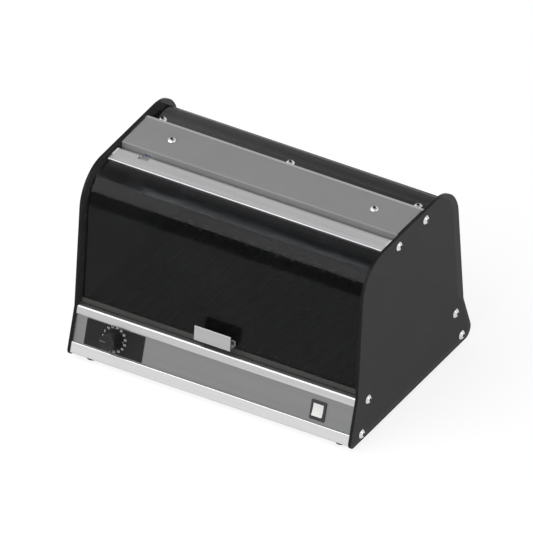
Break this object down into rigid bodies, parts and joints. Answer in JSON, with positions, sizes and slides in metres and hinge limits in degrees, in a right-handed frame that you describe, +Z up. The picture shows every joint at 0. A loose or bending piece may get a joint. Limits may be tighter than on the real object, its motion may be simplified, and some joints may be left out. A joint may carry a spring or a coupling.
{
  "type": "chopstick sterilizer box",
  "caption": "Table-top ultraviolet steriliser cabinet for chopsticks and cutlery: smoked side panels, swing-up smoked door, bent smoked back cover, aluminium fascia with timer and switch.",
  "frame": {"origin": "under the middle of the cabinet's overall box, on the surface that its feet stand on", "axes": "+X across the cabinet to the right as its user sees it, +Y towards its back, +Z up"},
  "size_m": [0.498, 0.3644, 0.3137],
  "materials": {
    "smoked_acrylic": "smoked cast sheet, polished",
    "brushed_aluminium": "brushed and clear anodised",
    "satin_cover": "satin grey powder coat",
    "chrome_fastener": "polished chrome plate",
    "zinc_steel": "zinc-plated sheet",
    "dark_steel": "dark grey paint",
    "black_plastic": "fine moulded texture",
    "white_plastic": "polished moulding",
    "blue_plastic": "moulded",
    "nylon": "natural nylon",
    "black_rubber": "matt",
    "quartz_glass": "clear",
    "reflector_metal": "bright rolled",
    "stainless": "brushed",
    "brass": "nickel-free contact"
  },
  "bodies": {
    "root": {"back_cover": "smoked_acrylic", "back_cover_screws": "chrome_fastener", "ballast": "zinc_steel", "base_plate": "zinc_steel", "door_bumpers": "black_rubber", "door_switch": "blue_plastic", "feet": "black_rubber", "floor_plate": "stainless", "foot_screws": "zinc_steel", "front_fascia": "brushed_aluminium", "inlet_pins": "brass", "inlet_screws": "zinc_steel", "lamp_housing": "dark_steel", "lamp_housing_screws": "zinc_steel", "lampholder_left": "white_plastic", "lampholder_right": "white_plastic", "pivot_bushes": "nylon", "pivot_screws": "chrome_fastener", "power_inlet": "black_plastic", "rear_base_rail": "brushed_aluminium", "reflector": "reflector_metal", "side_panel_left": "smoked_acrylic", "side_panel_right": "smoked_acrylic", "side_screws_left": "chrome_fastener", "side_screws_right": "chrome_fastener", "starter": "white_plastic", "starter_socket": "black_plastic", "switch_body": "black_plastic", "terminal_block": "nylon", "timer_body": "white_plastic", "timer_plate": "black_plastic", "timer_screws": "zinc_steel", "top_cover": "satin_cover", "top_cover_screws": "chrome_fastener", "top_rear_rail": "brushed_aluminium", "uv_tube": "quartz_glass", "uv_tube_caps": "reflector_metal"},
    "door": {"door_panel": "smoked_acrylic", "door_hinge_rail": "brushed_aluminium", "rail_end_caps": "white_plastic", "door_seal": "black_rubber", "door_handle": "brushed_aluminium", "handle_screws": "chrome_fastener"},
    "timer_dial": {"timer_knob": "black_plastic", "timer_shaft": "zinc_steel"},
    "rocker": {"rocker_button": "white_plastic"},
    "plunger": {"switch_plunger": "nylon"}
  },
  "joints": [
    {"name": "door_hinge", "type": "hinge", "parent": "root", "child": "door", "pos_m": [0, -0.02867, 0.2952], "axis": [-1, 0, 0], "range_deg": [0, 60]},
    {"name": "timer_turn", "type": "hinge", "parent": "root", "child": "timer_dial", "pos_m": [-0.172, -0.15611, 0.0538], "axis": [0, 0.9558, -0.2941], "range_deg": [0, 282]},
    {"name": "rocker_tip", "type": "hinge", "parent": "root", "child": "rocker", "pos_m": [0.181, -0.15413, 0.05005], "axis": [1, 0, 0], "range_deg": [0, 16]},
    {"name": "plunger_travel", "type": "slide", "parent": "root", "child": "plunger", "axis": [0, -1, 0], "range_m": [0, 0.00055]}
  ],
  "couplings": [
    {"joint": "plunger_travel", "follows": "door_hinge", "m_per_rad": 0.0005}
  ]
}
